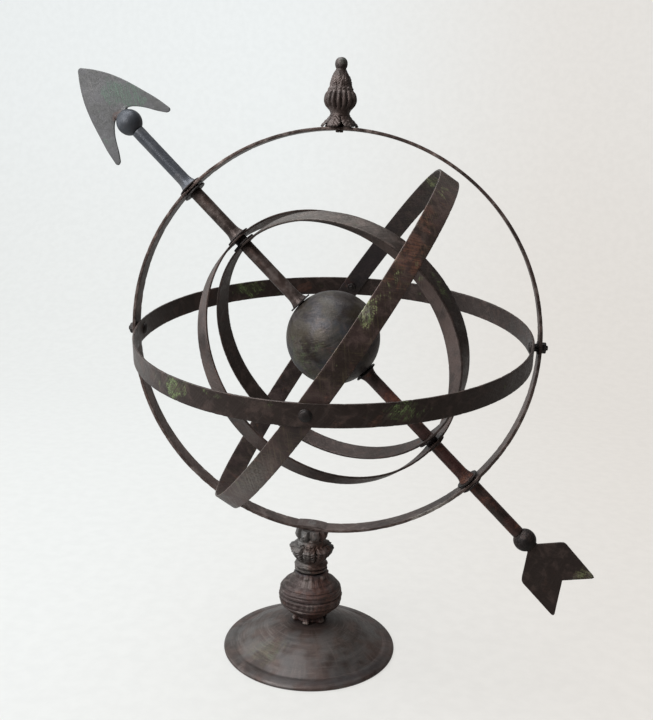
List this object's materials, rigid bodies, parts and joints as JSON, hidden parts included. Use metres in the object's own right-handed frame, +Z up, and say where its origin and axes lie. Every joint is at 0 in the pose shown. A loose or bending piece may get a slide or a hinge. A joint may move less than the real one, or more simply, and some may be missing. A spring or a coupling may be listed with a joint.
{
  "type": "armillary sphere",
  "caption": "Table-top armillary sphere: fixed hoop on a turned stem and round dish foot, pivoting horizon and zodiac bands, and an arrow carrying a ball and two free bands.",
  "frame": {"origin": "on the stem axis, in the plane of the foot's rim", "axes": "+Z up the stem, -Y towards the front, +X to the right; the hoop lies in the XZ plane and the arrow head points up and to the left"},
  "size_m": [0.5258, 0.3894, 0.5984],
  "materials": {
    "cast_patina": "matt black-brown patina, brushed, traces of verdigris",
    "band_patina": "matt dark brown patina, brushed, green patches, lighter worn edges",
    "tube_patina": "matt red-brown patina over black",
    "black_fastener": "satin black oxide",
    "plain_rod": "plain drawn steel, threaded ends"
  },
  "bodies": {
    "stand": {"base_dish": "cast_patina", "base_washer": "black_fastener", "base_nut": "black_fastener", "stem_tie_rod": "plain_rod", "stem_bulb": "cast_patina", "stem_washer": "black_fastener", "stem_capital": "cast_patina", "seat_plate": "band_patina", "meridian_ring": "band_patina", "finial": "cast_patina", "finial_screw": "black_fastener", "horizon_pivot_bolts": "black_fastener", "horizon_pivot_nuts": "black_fastener", "horizon_pivot_washers": "black_fastener", "horizon_pivot_spacers": "black_fastener"},
    "horizon": {"horizon_ring": "band_patina", "zodiac_pivot_bolts": "black_fastener", "zodiac_pivot_nuts": "black_fastener", "zodiac_pivot_washers": "black_fastener"},
    "zodiac": {"zodiac_ring": "band_patina"},
    "arrow": {"arrow_tie_rod": "plain_rod", "arrow_head": "band_patina", "head_ball": "cast_patina", "head_tube": "tube_patina", "upper_outer_tube": "tube_patina", "upper_inner_tube": "tube_patina", "centre_ball": "cast_patina", "ball_washers": "black_fastener", "lower_inner_tube": "tube_patina", "hub_spacers": "tube_patina", "band_washers": "black_fastener", "lower_outer_tube": "tube_patina", "hoop_spacers": "black_fastener", "hoop_washers": "black_fastener", "tail_tube": "tube_patina", "tail_ball": "cast_patina", "arrow_tail": "band_patina"},
    "large_band": {"inner_ring_large": "band_patina"},
    "small_band": {"inner_ring_small": "band_patina"}
  },
  "joints": [
    {"name": "horizon_tilt", "type": "hinge", "parent": "stand", "child": "horizon", "pos_m": [0.016, 0, 0.334], "axis": [1, 0, 0], "range_deg": [-88, 72]},
    {"name": "zodiac_swing", "type": "hinge", "parent": "horizon", "child": "zodiac", "pos_m": [0.016, 0, 0.334], "axis": [0, -0.99, -0.1409], "range_deg": [-50, 72]},
    {"name": "arrow_spin", "type": "hinge", "parent": "stand", "child": "arrow", "pos_m": [0.016, 0, 0.334], "axis": [-0.712, 0, 0.7022], "continuous": true},
    {"name": "large_band_spin", "type": "hinge", "parent": "arrow", "child": "large_band", "pos_m": [0.016, 0, 0.334], "axis": [-0.712, 0, 0.7022], "continuous": true},
    {"name": "small_band_spin", "type": "hinge", "parent": "arrow", "child": "small_band", "pos_m": [0.016, 0, 0.334], "axis": [-0.712, 0, 0.7022], "continuous": true}
  ]
}
